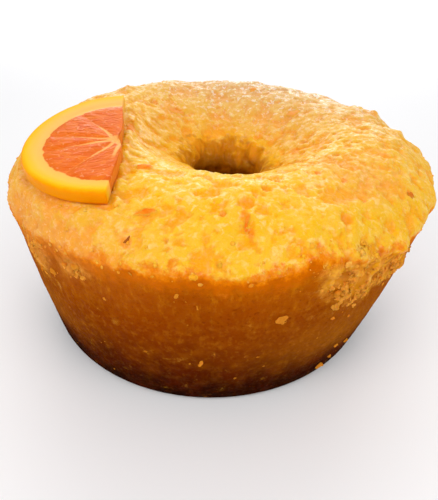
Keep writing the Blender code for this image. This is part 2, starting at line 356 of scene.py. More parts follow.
above_rim, deep = spread(1), spread(2)
from_axis = cake_points[:, :2] - RIM_CENTRE
bearing = np.arctan2(from_axis[:, 1], from_axis[:, 0])
for shift, degrees, width in CREASE_SHIFTS:
    above_rim = above_rim + shift * hump(bearing, degrees, width)


def spots(places):
    """How strongly each point lies in one of the named places, from 0 to 1."""
    strongest = np.zeros(len(cake_points))
    for degrees, radius, height, half_width, half_height, *_ in places:
        turn = math.radians(degrees)
        across = cake_points[:, 0] - RIM_CENTRE[0] - radius * math.cos(turn)
        ahead = cake_points[:, 1] - RIM_CENTRE[1] - radius * math.sin(turn)
        along = np.hypot(ahead * 0.8, cake_points[:, 2] - height)
        strongest = np.maximum(
            strongest, np.exp(-(across / half_width) ** 2 - (along / half_height) ** 2))
    return strongest


TEAR_REACH = 0.040
torn = spots(TEARS) * (np.abs(above_rim) < TEAR_REACH)
crags = sum(spots([crag]) * crag[-1] for crag in CRAGS)

# The half slice of orange, as the solid lies: its core, the lean of its face and its size
SLICE_CORE = Vector((-0.0415 + RIM_CENTRE[0], -0.0389 + RIM_CENTRE[1], 0.1017))
SLICE_UP = Vector((0.001, -0.126, 1.0)).normalized()
SLICE_FACING = math.radians(185.8)
SLICE_HALF_CUT = 0.0400
SLICE_REACH = 0.0370
SLICE_OUT = Vector((math.cos(SLICE_FACING), math.sin(SLICE_FACING), 0.0))
SLICE_OUT = (SLICE_OUT - SLICE_UP * SLICE_OUT.dot(SLICE_UP)).normalized()
SLICE_ALONG = SLICE_UP.cross(SLICE_OUT)


def beyond_slice(points):
    """Distance of points outside the slice's outline, seen square to its face."""
    away = points - np.array(SLICE_CORE)
    reach = away @ np.array(SLICE_OUT)
    side = away @ np.array(SLICE_ALONG)
    size = np.hypot(np.maximum(reach, 0.0) / SLICE_REACH, side / SLICE_HALF_CUT)
    return np.maximum((size - 1.0) * SLICE_REACH, -reach)


# The cake is smooth under the slice and at its own foot, and the slice presses up a low ridge
# of crumb round itself
BED_EDGE = 0.001
SMOOTH_FOOT = 0.0025
RIDGE_HEIGHT = 0.0016
RIDGE_AWAY = 0.0022
RIDGE_WIDTH = 0.0018
on_top = (above_rim > 0.0) & (deep == 0.0)
calm = np.where(on_top, np.clip(1.0 - beyond_slice(cake_points) / BED_EDGE, 0.0, 1.0), 0.0)
calm = np.where(cake_points[:, 2] < SMOOTH_FOOT, 1.0, calm)
near_slice = np.where(on_top, beyond_slice(cake_points), 1.0)
crags = crags + RIDGE_HEIGHT * swell(near_slice, RIDGE_AWAY, RIDGE_WIDTH)
on_crown = np.clip(above_rim / 0.001, 0.0, 1.0) * (deep == 0.0)

# Where the syrup dried or soaked away, the crumb is dull
dry = hump(bearing, -138, 0.42) * np.clip(1.0 - np.abs(above_rim) / 0.022, 0.0, 1.0)
matte = hump(bearing, -44, 0.22) * np.clip((above_rim - 0.010) / 0.012, 0.0, 1.0)
matte = 0.42 * matte * np.clip((0.056 - above_rim) / 0.012, 0.0, 1.0)

# How thickly crumbs lie: above and below the crease, in the torn places and round the slice.
# Clots lie in the torn places, and a few round the slice.
CRUMBLESS_FOOT = 0.010
crumbly = 0.09 * on_crown * swell(above_rim, 0.0, 0.006)
crumbly += np.clip(1.2 * torn, 0.0, 0.9) * 0.2
crumbly += 0.08 * (above_rim <= 0.0) * swell(above_rim, 0.0, 0.004)
crumbly += 0.2 * swell(near_slice, 0.0012, 0.0016)
crumbly *= (near_slice > -0.0006) * (cake_points[:, 2] > CRUMBLESS_FOOT)
clotted = np.clip(1.5 * torn - 0.15, 0.0, 1.0) * (near_slice > 0.0010)
clotted += 0.08 * (near_slice > 0.0010) * swell(near_slice, RIDGE_AWAY, 0.0014)
clotted *= cake_points[:, 2] > CRUMBLESS_FOOT
flecked = (above_rim < -0.002) * (cake_points[:, 2] > 0.003) * (deep == 0.0)

# The far side of the crown is painted paler, with painted glints: a painted sheen
far = on_crown * hump(bearing, 74, 1.05)
far *= np.clip(1.6 - above_rim / 0.050, 0.0, 1.0)
far *= 0.25 + 0.75 * np.clip((above_rim - 0.008) / 0.012, 0.0, 1.0)

# The front of the crown, which faces the front lights, is painted brighter yellow: painted light
cake = built(
    "ring_cake", join_all(rings), above_rim=above_rim, deep=deep, torn=torn, calm=calm,
    pit=spots(PITS), stain=spots(STAINS), crag=crags, dry=np.maximum(dry, matte),
    crumbly=crumbly, clotted=clotted, flecked=flecked, far=far,
    pale_side=np.maximum(hump(bearing, -54, 0.42), 0.8 * hump(bearing, -146, 0.36)),
    sunny=on_crown * hump(bearing, -90, 1.30) * (above_rim < 0.060))


def feed(node, sockets):
    """Give a node's sockets plain values, or link them to what feeds them."""
    for key, value in sockets.items():
        if isinstance(value, bpy.types.NodeSocket):
            node.id_data.links.new(value, node.inputs[key])
        else:
            node.inputs[key].default_value = value


def put(kind, sockets=None, out=0, tree=None, **settings):
    """Add a node to the tree of the sockets that feed it, and return one of its outputs."""
    sockets = sockets or {}
    if tree is None:
        tree = next(value for value in sockets.values()
                    if isinstance(value, bpy.types.NodeSocket)).id_data
    made = tree.nodes.new(kind)
    for key, value in settings.items():
        setattr(made, key, value)
    feed(made, sockets)
    return made.outputs[out]


def reckon(operation, a, b=0.0, c=0.0):
    return put("ShaderNodeMath", {0: a, 1: b, 2: c}, operation=operation)


def times(value, *factors):
    for factor in factors:
        value = reckon("MULTIPLY", value, factor)
    return value


def plus(value, *others):
    for other in others:
        value = reckon("ADD", value, other)
    return value


def minus(value, other):
    return reckon("SUBTRACT", value, other)


def scaled(value, factor, start):
    """The value times the factor, added to the start."""
    return reckon("MULTIPLY_ADD", value, factor, start)


def fade(value, low, high, start=0.0, end=1.0):
    """Smooth change from start to end as the value goes from low to high."""
    return put("ShaderNodeMapRange", {"Value": value, "From Min": low, "From Max": high,
               "To Min": start, "To Max": end}, interpolation_type="SMOOTHSTEP")


def grain(place, size, detail=2.0, rough=0.5, warp=0.0):
    """Noise from 0 to 1 whose grains are about so many metres across."""
    return put("ShaderNodeTexNoise", {"Vector": place, "Scale": 1.0 / size, "Detail": detail,
               "Roughness": rough, "Distortion": warp})


def sway(place, size, reach, detail=2.0, rough=0.5, warp=0.0):
    """The same noise about zero, out to the reach on either side."""
    return scaled(grain(place, size, detail, rough, warp), 2.0 * reach, -reach)


def jitter(place, scale, detail):
    """Soft noise in all three directions, each about zero."""
    noise = put("ShaderNodeTexNoise", {"Vector": place, "Scale": scale, "Detail": detail}, out=1)
    return put("ShaderNodeVectorMath", {0: noise, 1: (0.5, 0.5, 0.5)}, operation="SUBTRACT")


def stretched(place, factors):
    return put("ShaderNodeVectorMath", {0: place, 1: factors}, operation="MULTIPLY")


def wrinkled(place, size, amount):
    """The place shifted by soft noise, which makes round cells and rings uneven."""
    return put("ShaderNodeVectorMath", {0: jitter(place, 1.0 / size, 2.0), 1: (amount,) * 3,
               2: place}, operation="MULTIPLY_ADD")


def pits(place, size, share, radius, seed):
    """Uneven hollows from 0 to 1 deep, in a share of cells of that size."""
    bent = wrinkled(place, size * 0.5, size * 0.9)
    moved = put("ShaderNodeVectorMath", {0: bent, 1: (seed, -seed, seed)})
    cells = put("ShaderNodeTexVoronoi", {"Vector": moved, "Scale": 1.0 / size})
    draw = put("ShaderNodeSeparateXYZ", {0: cells.node.outputs["Color"]})
    half_width = 0.6 * radius / size
    width = scaled(draw.node.outputs[1], half_width, half_width)
    hollow = fade(reckon("DIVIDE", cells, width), 0.35, 1.0, 1.0, 0.0)
    return times(hollow, reckon("LESS_THAN", draw, share))


def add_sockets(tree, in_out, kind, titles):
    for title in titles:
        tree.interface.new_socket(title, in_out=in_out, socket_type="NodeSocket" + kind)


def tree_with(name, sizes, counts=()):
    """A geometry tree with a shape in, a shape out and named numbers as inputs."""
    tree = bpy.data.node_groups.new(name, "GeometryNodeTree")
    add_sockets(tree, "OUTPUT", "Geometry", ["Geometry"])
    add_sockets(tree, "INPUT", "Geometry", ["Geometry"])
    add_sockets(tree, "INPUT", "Float", sizes)
    add_sockets(tree, "INPUT", "Int", counts)
    place = put("GeometryNodeInputPosition", tree=tree)
    return tree, tree.nodes.new("NodeGroupInput").outputs, place


def layer(tree, title):
    return put("GeometryNodeInputNamedAttribute", {"Name": title}, tree=tree, data_type="FLOAT")


def store(shape, title, value, domain="POINT"):
    return put("GeometryNodeStoreNamedAttribute", {"Geometry": shape, "Name": title,
               "Value": value}, data_type="FLOAT", domain=domain)


def push(shape, distance, way=None):
    """Move a shape's points by so much along a way, or straight out of its surface."""
    way = way or put("GeometryNodeInputNormal", tree=shape.id_data)
    offset = put("ShaderNodeVectorMath", {0: way, "Scale": distance}, operation="SCALE")
    return put("GeometryNodeSetPosition", {"Geometry": shape, "Offset": offset})


def finish_tree(shape, material):
    solid = put("GeometryNodeRealizeInstances", {0: shape})
    painted = put("GeometryNodeSetMaterial", {"Geometry": solid, "Material": material})
    feed(shape.id_data.nodes.new("NodeGroupOutput"), {0: painted})
    return shape.id_data


def run_tree(thing, tree, values):
    """Run a geometry tree on an object and leave the plain mesh that it made."""
    modifier = thing.modifiers.new(tree.name, "NODES")
    modifier.node_group = tree
    for item in tree.interface.items_tree:
        if item.name in values:
            modifier[item.identifier] = values[item.name]
    solved = thing.evaluated_get(bpy.context.evaluated_depsgraph_get())
    mesh = bpy.data.meshes.new_from_object(solved)
    mesh.name = thing.name
    thing.modifiers.clear()
    thing.data = mesh
    mesh.shade_smooth()


def cake_relief(material):
    """A glazed skin that is broken open over coarse crumb, scars in the crust, and its pores."""
    tree, given, place = tree_with("cake_relief", (
        "Lump Height", "Crumb Height", "Skin Thickness", "Pit Depth", "Scar Depth",
        "Crust Roughness", "Ledge"))
    above, dry = layer(tree, "above_rim"), layer(tree, "dry")

    def swing(size, detail, warp=0.0):
        """Noise about from -1 to 1."""
        return sway(place, size, 2.0, detail, warp=warp)

    # The crown opens above a wandering edge, and the wall in ragged scars
    above_edge = plus(above, sway(place, 0.0045, 0.004, 4.0, 0.65))
    inside = fade(layer(tree, "deep"), 0.0, 0.25)
    crown = times(fade(above_edge, -0.0014, 0.0016), scaled(inside, -0.10, 1.0))
    frayed = sway(place, 0.0075, 1.2, 5.0, 0.65)
    scar = fade(plus(layer(tree, "torn"), frayed), 0.46, 0.86)
    open_crumb = reckon("MAXIMUM", crown, scar)

    # Lumps under a glazed skin, which is broken in patches and at the pits
    pit = fade(scaled(swing(0.0030, 3.0), 0.22, layer(tree, "pit")), 0.30, 0.70)
    broken = scaled(pit, -0.3, grain(place, 0.0085, 5.0, 0.62, 0.4))
    broken = scaled(dry, -0.10, broken)
    skin = times(fade(broken, 0.435, 0.475), minus(1.0, scar))
    lumps = times(swing(0.0085, 1.0, 0.3), given["Lump Height"])
    clots = times(swing(0.0050, 3.0), given["Scar Depth"])
    lumps = scaled(clots, scar, lumps)
    clods = put("ShaderNodeTexVoronoi", {"Vector": wrinkled(place, 0.003, 0.003),
                "Scale": 1.0 / 0.0034, "Smoothness": 0.35}, feature="SMOOTH_F1")
    crumb = plus(scaled(clods, -2.4, 0.9), times(swing(0.0019, 2.0, 0.3), 0.60))
    smoothed = scaled(dry, 0.60, scaled(skin, -0.50, 1.0))
    crumb = times(crumb, smoothed, given["Crumb Height"])
    hollow = reckon("MAXIMUM", pit, times(pits(place, 0.0056, 0.40, 0.0015, 0.13), 0.5))
    rough = minus(plus(lumps, crumb), times(hollow, given["Pit Depth"]))
    rough = scaled(minus(skin, 0.7), given["Skin Thickness"], rough)
    rough = times(rough, open_crumb)

    # The crust's own roughness, the ledge where the crown hangs over it, and the crags
    pores = plus(times(swing(0.0024, 3.0), 0.5), swing(0.0090, 2.0))
    pores = times(pores, given["Crust Roughness"])
    ledge = times(fade(above_edge, -0.0016, 0.0008), fade(above, 0.0010, 0.0070, 1.0, 0.0))
    bulge = times(layer(tree, "crag"), scaled(swing(0.0040, 3.0), 0.45, 1.0))
    height = plus(rough, scaled(ledge, given["Ledge"], pores), bulge)
    height = times(height, minus(1.0, layer(tree, "calm")))

    # hollow is also stored for the colour, which paints shade into the pits and broken skin
    hollow = reckon("MAXIMUM", hollow, times(minus(1.0, skin), 0.55))
    shape = given["Geometry"]
    for title, value in (("hollow", hollow), ("open_crumb", open_crumb), ("relief", rough),
                         ("scar", scar), ("skin", skin)):
        shape = store(shape, title, value)
    return finish_tree(push(shape, height), material)


def paint(red, green, blue):
    """A colour as the eye reads it, 0 to 255 each, turned into the light that Blender mixes."""
    return tuple((part / 255.0 + 0.055) ** 2.4 / 1.055 ** 2.4 if part > 10 else part / 3295.0
                 for part in (red, green, blue)) + (1.0,)


def mix(share, first, second):
    return put("ShaderNodeMix", {0: share, 6: first, 7: second}, out=2, data_type="RGBA")


def overlay(colour, *coats):
    """A colour with others laid over it in turn, each given by its share and its paint."""
    for share, shade in coats:
        colour = mix(share, colour, paint(*shade))
    return colour


def colour_steps(value, steps):
    """Colour ramp through steps of a position and its paint."""
    out = put("ShaderNodeValToRGB", {0: value})
    ramp = out.node.color_ramp
    while len(ramp.elements) < len(steps):
        ramp.elements.new(0.5)
    for element, (position, shade) in zip(ramp.elements, steps):
        element.position = position
        element.color = paint(*shade)
    return out


def start_material(name):
    material = bpy.data.materials.new(name)
    material.use_nodes = True
    return material, material.node_tree, material.node_tree.nodes["Principled BSDF"]


def start_group(name, numbers, outputs):
    """A shader group that takes a place and named numbers."""
    group = bpy.data.node_groups.new(name, "ShaderNodeTree")
    add_sockets(group, "INPUT", "Vector", ["Place"])
    add_sockets(group, "INPUT", "Float", numbers)
    for title, kind in outputs.items():
        add_sockets(group, "OUTPUT", kind, [title])
    return group, group.nodes.new("NodeGroupInput").outputs, group.nodes.new("NodeGroupOutput")


def mottling_group():
    """Uneven baking and syrup: golden crumb with brighter and deeper patches, plus painted shade in
    hollows, painted light on the front of the crown, and a painted sheen with painted glints on its
    far side.
    """
    group, given, end = start_group("mottled_crumb", (
        "Hollow", "Height", "Stain", "Dry", "Sunny", "Far"), {"Color": "Color", "Wet": "Float"})
    place, dry, far = given["Place"], given["Dry"], given["Far"]
    height = put("ShaderNodeSeparateXYZ", {0: place}, out=2)
    broad = fade(grain(place, 0.022, 3.0), 0.38, 0.66)
    patch = fade(grain(place, 0.0070, 3.0, 0.6, 0.5), 0.36, 0.66)
    fleck = fade(grain(place, 0.0027, 3.0, 0.6, 0.5), 0.50, 0.68)
    speck = fade(grain(place, 0.0011, 3.0, 0.7), 0.34, 0.50, 0.22, 0.0)
    painted_glint = fade(grain(place, 0.0030, 4.0, 0.7), 0.54, 0.60)
    painted_dry_glints = fade(grain(place, 0.0018, 3.0, 0.7), 0.53, 0.64, 0.0, 0.75)
    stained = fade(plus(given["Stain"], sway(place, 0.0025, 0.45, 3.0)), 0.25, 0.85, 0.0, 0.65)
    colour = overlay(
        mix(broad, paint(238, 167, 18), paint(241, 176, 26)),
        (times(patch, 0.55), (246, 192, 84)),
        (speck, (232, 148, 20)),
        # the front of the crown painted brighter yellow: painted light
        (times(given["Sunny"], 0.62), (241, 192, 34)),
        # pale flecks, stronger higher up the crown: partly pale crumb, partly painted soft glints
        (times(fleck, fade(height, 0.084, 0.094, 0.45, 0.80)), (252, 214, 136)),
        # low places and hollows painted deeper orange: painted shade
        (times(fade(given["Height"], 0.0002, -0.0008), 0.50), (247, 162, 6)),
        (times(given["Hollow"], 0.60), (245, 148, 4)),
        # the far side of the crown painted paler, with painted glints: a painted sheen
        (times(far, 0.68), (214, 178, 136)),
        (times(far, painted_glint), (255, 246, 228)),
        (times(dry, 0.55), (240, 162, 86)),
        # pale pink specks on the dull crumb: painted glints
        (times(dry, painted_dry_glints), (252, 210, 160)),
        (stained, (242, 122, 20)),
    )
    wet = fade(grain(place, 0.0016, 3.0, 0.7), 0.44, 0.60, 0.15, 1.0)
    feed(end, {"Color": colour, "Wet": times(wet, scaled(dry, -0.7, 1.0))})
    return group


def grit_group():
    """Fine roughness of crumb and crust, finer than the mesh."""
    group, given, end = start_group("fine_crumb", ("Size",), {"Height": "Float"})
    place = put("ShaderNodeVectorMath", {
        0: given["Place"], "Scale": reckon("DIVIDE", 1.0, given["Size"])}, operation="SCALE")
    coarse = grain(place, 1.0, 3.0, 0.6, 0.3)
    fine = grain(place, 0.4, 2.0, 0.6)
    feed(end, {"Height": scaled(fine, 0.4, coarse)})
    return group


MOTTLING = mottling_group()
GRIT = grit_group()


def own_place(tree):
    """Each point's place in the piece itself."""
    return put("ShaderNodeTexCoord", out=3, tree=tree)


def attribute(tree, title):
    return put("ShaderNodeAttribute", out=2, tree=tree, attribute_name=title)


def sponge_colour(place, **more):
    """Colour and wetness of the crumb from the numbers that lie on the cake."""
    told = {title.capitalize(): attribute(place.id_data, title)
            for title in ("stain", "dry", "sunny", "far")}
    return put("ShaderNodeGroup", {"Place": place, **told, **more},
               node_tree=MOTTLING).node.outputs


def fine_bump(place, size, strength, distance):
    grit = put("ShaderNodeGroup", {"Place": place, "Size": size}, node_tree=GRIT)
    return put("ShaderNodeBump", {"Height": grit, "Strength": strength, "Distance": distance})


def cake_material():
    material, tree, shader = start_material("baked_orange_sponge")
    place = own_place(tree)
    height = put("ShaderNodeSeparateXYZ", {0: place}, out=2)
    above, dry, relief, deep = (attribute(tree, title)
                                for title in ("above_rim", "dry", "relief", "deep"))
    # the hollows and low relief get painted shade in the crumb colour
    crumb = sponge_colour(place, Hollow=attribute(tree, "hollow"), Height=relief)

    # The crust is nearly black at the base and lighter towards the rim: partly its own browning,
    # partly painted shade low on the wall and painted light from above near the rim
    level = plus(height, sway(place, 0.020, 0.012, 4.0, 0.6))
    crust = colour_steps(reckon("DIVIDE", level, 0.080), (
        (0.00, (24, 5, 0)), (0.12, (44, 9, 0)), (0.30, (83, 24, 0)), (0.58, (130, 52, 0)),
        (0.84, (161, 72, 0)), (0.95, (184, 90, 0)),
    ))
    ochre = fade(grain(place, 0.0065, 5.0, 0.60), 0.40, 0.74, 0.0, 0.24)
    paler = times(attribute(tree, "pale_side"), fade(height, 0.012, 0.034, 0.0, 0.40),
                  fade(height, 0.036, 0.056, 1.0, 0.4))
    blotch = fade(grain(place, 0.0100, 5.0, 0.70), 0.46, 0.72, 0.0, 0.28)
    pore = fade(grain(place, 0.0013, 3.0, 0.6), 0.54, 0.72, 0.0, 0.38)
    upright, hanging = (stretched(place, (1.0, 1.0, share)) for share in (0.7, 0.42))
    fleck = fade(grain(upright, 0.0024, 3.0, 0.6), 0.50, 0.74, 0.0, 0.24)
    runs = fade(grain(hanging, 0.0044, 4.0, 0.7), 0.48, 0.74, 0.0, 0.55)
    edge = plus(above, sway(place, 0.0060, 0.0085, 5.0, 0.65))
    colour = overlay(
        crust,
        (times(ochre, fade(height, 0.002, 0.030)), (184, 104, 6)),
        (paler, (188, 112, 18)),
        (blotch, (104, 32, 0)),
        (pore, (98, 32, 0)),
        (times(fleck, fade(height, 0.010, 0.045, 0.15, 1.0)), (200, 126, 30)),
        (times(runs, fade(height, 0.046, 0.070)), (214, 132, 16)),
        # the band just under the crease is lighter: partly less browned, partly painted light from
        # above
        (fade(edge, -0.0090, -0.0020), (204, 100, 0)),
        (fade(edge, -0.0031, 0.0001), (234, 130, 4)),
    )
    colour = mix(fade(edge, -0.0006, 0.0028), colour, crumb["Color"])

    # Bare crumb shows where the crust tore off, and is dull where the syrup didn't reach
    bare = overlay(
        crumb["Color"],
        (fade(grain(place, 0.0035, 4.0, 0.6), 0.40, 0.62), (236, 158, 56)),
        # low places in the bare crumb are painted darker: painted shade
        (fade(relief, 0.0002, -0.0006, 0.0, 0.5), (190, 104, 12)),
        (times(dry, 0.75), (208, 128, 54)),
    )
    bared = plus(attribute(tree, "torn"), sway(place, 0.0060, 0.9, 5.0, 0.7))
    colour = mix(fade(bared, 0.15, 0.85, 0.0, 0.90), colour, bare)
    dull = mix(fade(above, -0.004, 0.003), paint(204, 120, 48), paint(230, 148, 68))
    dulled = fade(grain(place, 0.0040, 4.0, 0.65), 0.40, 0.62, 0.25, 0.75)
    colour = mix(times(dry, dulled), colour, dull)

    # The hole darkens from its lip down, partly crust browned by the tube and partly painted shade.
    # Crumb hangs over the lip here and there and is painted lighter, partly its own crumb colour
    # and partly painted light
    lip = fade(plus(above, sway(place, 0.0060, 0.011)), 0.0755, 0.0820, 0.0, 0.75)
    tube = colour_steps(scaled(grain(place, 0.006, 4.0, 0.6), 0.44, minus(deep, 0.22)), (
        (0.00, (180, 100, 0)), (0.08, (146, 74, 0)), (0.20, (106, 48, 0)), (0.40, (72, 26, 0)),
        (1.00, (44, 14, 0)),
    ))
    colour = mix(fade(deep, 0.0, 0.08), overlay(colour, (lip, (186, 104, 0))), tube)
    # crumb over the lip painted lighter: its own crumb colour and painted light
    tongue = times(fade(attribute(tree, "crag"), 0.0006, 0.0024, 0.0, 0.80),
                   fade(above, 0.070, 0.076))
    wet = times(crumb["Wet"], fade(attribute(tree, "open_crumb"), 0.0, 1.0, 0.05, 0.68),
                fade(attribute(tree, "scar"), 0.0, 0.5, 1.0, 0.15),
                fade(above, 0.066, 0.078, 1.0, 0.12))
    feed(shader, {
        "Base Color": overlay(colour, (tongue, (226, 146, 24))),
        "Roughness": fade(grain(place, 0.0050, 3.0), 0.3, 0.7, 0.34, 0.56),
        "Specular IOR Level": 0.0,
        "Coat Weight": wet,
        "Coat Roughness": 0.29,
        "Subsurface Weight": 0.30,
        "Subsurface Radius": (1.0, 0.45, 0.08),
        "Subsurface Scale": 0.003,
        "Normal": fine_bump(place, 0.0013, 0.48, 0.0008),
    })
    return material


run_tree(cake, cake_relief(cake_material()), {
    "Lump Height": 0.0005,
    "Crumb Height": 0.00045,
    "Skin Thickness": 0.0005,
    "Pit Depth": 0.0011,
    "Scar Depth": 0.0014,
    "Crust Roughness": 0.00016,
    "Ledge": 0.0005,
})
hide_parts("cake")
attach(cake, "root")


# Loose crumbs: grains of the same sponge along the crease and round the foot of the orange
# slice, a few on the wall, and larger clots in the torn places. The syrup sticks them down, so
# each is partly sunk in the cake.

NOISE_PER_METRE = 1100.0


def draw_number(tree, low, high, seed):
    return put("FunctionNodeRandomValue", {2: low, 3: high, 8: seed}, out=1, tree=tree)


def crumb_scatter(material, dense_where):
    """Uneven grains strewn over a shape, closer together where the named layer is higher."""
    tree, given, place = tree_with("crumb_scatter", (
        "Crumbs Per Square Metre", "Smallest", "Largest", "Flatness", "Sunk Share",
        "Ruggedness"), ("Roundness", "Seed"))
    clump = fade(grain(place, 0.0080), 0.40, 0.62, 0.25, 1.0)
    points = put("GeometryNodeDistributePointsOnFaces", {
        "Mesh": given["Geometry"], "Seed": given["Seed"],
        "Density": times(layer(tree, dense_where), clump, given["Crumbs Per Square Metre"]),
    }, distribute_method="RANDOM")
    upright, facing = points.node.outputs["Normal"], points.node.outputs["Rotation"]
    seldom = reckon("POWER", draw_number(tree, 0.0, 1.0, 3), 3.0)
    points = store(points, "girth", scaled(
        seldom, minus(given["Largest"], given["Smallest"]), given["Smallest"]))
    size = layer(tree, "girth")
    points = push(points, times(size, given["Sunk Share"], -1.0), upright)
    lean_x, lean_y = (draw_number(tree, -0.5, 0.5, seed) for seed in (5, 6))
    spin = put("ShaderNodeCombineXYZ", {0: lean_x, 1: lean_y, 2: draw_number(tree, 0.0, 6.28, 7)})
    facing = put("FunctionNodeRotateRotation", {
        0: facing, 1: put("FunctionNodeEulerToRotation", {0: spin})}, rotation_space="LOCAL")
    stretch = put("ShaderNodeCombineXYZ", {
        0: times(size, draw_number(tree, 0.9, 1.4, 8)), 1: size,
        2: times(size, given["Flatness"])})
    crumb = put("GeometryNodeMeshIcoSphere", {"Radius": 1.0, "Subdivisions": given["Roundness"]})
    strewn = put("GeometryNodeInstanceOnPoints", {
        "Points": points, "Instance": crumb, "Rotation": facing, "Scale": stretch})
    strewn = store(strewn, "draw", draw_number(tree, 0.0, 1.0, 9), "INSTANCE")
    shape = put("GeometryNodeRealizeInstances", {0: strewn})
    shape = push(shape, times(size, given["Ruggedness"]), jitter(place, NOISE_PER_METRE, 1.0))
    return finish_tree(shape, material)


def crumb_material(name, pale, deeper, toasted):
    """Sponge colour, lighter or deeper from crumb to crumb, toasted below the rim."""
    material, tree, shader = start_material(name)
    place = own_place(tree)
    draw, above = attribute(tree, "draw"), attribute(tree, "above_rim")
    below = fade(plus(above, sway(place, 0.0055, 0.006, 3.0)), -0.0050, 0.0020, 0.85, 0.0)
    colour = overlay(
        sponge_colour(place, Hollow=0.0, Height=0.0)["Color"],
        (0.50, (245, 168, 40)),
        (fade(draw, 0.55, 1.0, 0.0, 0.50), pale),
        (fade(draw, 0.40, 0.0, 0.0, 0.55), deeper),
        (below, toasted),
        (fade(grain(place, 0.0012, 3.0, 0.7), 0.44, 0.60, 0.0, 0.40), deeper),
        # crumbs at the hole's lip and down in it are darker: partly browned crust colour, partly
        # painted shade, as on the cake
        (fade(above, 0.0740, 0.0800, 0.0, 0.80), (176, 98, 2)),
        (fade(attribute(tree, "deep"), 0.0, 0.30, 0.0, 0.85), (110, 50, 0)),
    )
    feed(shader, {
        "Base Color": colour,
        "Roughness": 0.55,
        "Specular IOR Level": 0.0,
        "Coat Weight": fade(above, -0.004, 0.002, 0.0, 0.16),
        "Coat Roughness": 0.25,
        "Subsurface Weight": 0.30,
        "Subsurface Radius": (1.0, 0.35, 0.05),
        "Subsurface Scale": 0.0015,
        "Normal": fine_bump(place, 0.0010, 0.4, 0.0003),
    })
    return material


def strew(name, dense_where, material, numbers):
    """A piece of loose crumbs over the finished cake."""
    thing = set_out(name, cake.data.copy())
    run_tree(thing, crumb_scatter(material, dense_where), numbers)
    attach(thing, "root")


strew("crown_crumbs", "crumbly", crumb_material(
    "moist_crumb", (252, 202, 110), (246, 154, 40), (208, 110, 24)), {
    "Crumbs Per Square Metre": 650000.0, "Smallest": 0.00035, "Largest": 0.00105,
    "Flatness": 0.55, "Sunk Share": 0.10, "Ruggedness": 1.0, "Roundness": 1, "Seed": 11,
})
strew("wall_crumbs", "flecked", crumb_material(
    "toasted_crumb", (218, 148, 66), (170, 88, 10), (178, 102, 24)), {
    "Crumbs Per Square Metre": 5000.0, "Smallest": 0.00030, "Largest": 0.00095,
    "Flatness": 0.35, "Sunk Share": 0.10, "Ruggedness": 1.2, "Roundness": 1, "Seed": 5,
})
strew("sponge_clots", "clotted", crumb_material(
    "clotted_crumb", (247, 184, 88), (230, 140, 34), (234, 152, 58)), {
    "Crumbs Per Square Metre": 130000.0, "Smallest": 0.0008, "Largest": 0.0021,
    "Flatness": 0.60, "Sunk Share": 0.30, "Ruggedness": 1.8, "Roundness": 3, "Seed": 2,
})


# Torn sponge: where the crust stayed in the pan, larger flakes and lumps of crumb stand off the
# wall, and a few of them lie loose on the crust below, stuck down by syrup.

# Angle in degrees, distance from the rim's axis, height, half length, half width, half
# thickness, turn in degrees from level, and how pale from 0 to 1
TORN_BITS = (
    (-76.2, 0.0965, 0.0555, 0.0030, 0.0024, 0.0008, 20, 0.8),
    (-56.6, 0.0860, 0.0070, 0.0019, 0.0016, 0.0012, 0, 0.8),
    (-53.3, 0.0866, 0.0107, 0.0010, 0.0009, 0.0007, 40, 0.7),
    (-53.5, 0.0882, 0.0200, 0.0011, 0.0010, 0.0007, 10, 0.4),
    (-48.2, 0.0880, 0.0174, 0.0012, 0.0012, 0.0008, 70, 0.4),
    (-64.2, 0.0996, 0.0769, 0.0015, 0.0012, 0.0009, 30, 0.9),
    (-64.5, 0.0970, 0.0638, 0.0014, 0.0018, 0.0009, -20, 0.8),
    (-130.1, 0.0979, 0.0606, 0.0012, 0.0014, 0.0009, 0, 0.7),
    (-124.4, 0.0983, 0.0686, 0.0012, 0.0012, 0.0009, 40, 0.9),
    (-120.9, 0.0983, 0.0698, 0.0014, 0.0012, 0.0009, 10, 0.9),
    (-94.6, 0.0999, 0.0785, 0.0012, 0.0008, 0.0007, 0, 0.5),
    (-94.1, 0.0981, 0.0641, 0.0004, 0.0014, 0.0004, 5, 0.6),
    (-97.8, 0.0992, 0.0690, 0.0006, 0.0013, 0.0005, -5, 0.5),
    (-114.8, 0.0976, 0.0594, 0.0008, 0.0009, 0.0005, 0, 0.8),
    (-93.8, 0.0927, 0.0309, 0.0004, 0.0017, 0.0004, -15, 0.6),
)
TORN_BIT_SUNK = 0.10

CAKE_SURFACE = surface_of(cake)


def lay_torn_bits():
    bm = bmesh.new()
    paleness, below_rim = [], []
    for degrees, radius, height, length, width, thickness, turn, pale in TORN_BITS:
        angle = math.radians(degrees)
        sought = Vector((RIM_CENTRE[0] + radius * math.cos(angle),
                         RIM_CENTRE[1] + radius * math.sin(angle), height))
        spot, normal, *_ = CAKE_SURFACE.find_nearest(sought)
        level = Vector((-math.sin(angle), math.cos(angle), 0.0))
        level = (level - normal * level.dot(normal)).normalized()
        level = Matrix.Rotation(math.radians(turn), 3, normal) @ level
        axes = (level * length, normal.cross(level) * width, normal * thickness)
        laid = Matrix.Translation(spot + normal * thickness * -TORN_BIT_SUNK)
        laid = laid @ Matrix(axes).transposed().to_4x4()
        made = bmesh.ops.create_icosphere(bm, subdivisions=3, radius=1.0)["verts"]
        bmesh.ops.transform(bm, matrix=laid, verts=made)
        paleness += [pale] * len(made)
        below_rim += [height - RIM_HEIGHT] * len(made)
    return built("torn_sponge", bm, draw=paleness, above_rim=below_rim)


def torn_relief(material):
    """Breaks the flakes' round outlines into ragged crumb."""
    tree, given, place = tree_with("torn_relief", ("Raggedness", "Crumb Height"))
    height = plus(times(sway(place, 0.0022, 2.0), given["Raggedness"]),
                  times(sway(place, 0.0009, 2.0), given["Crumb Height"]))
    return finish_tree(push(given["Geometry"], height), material)


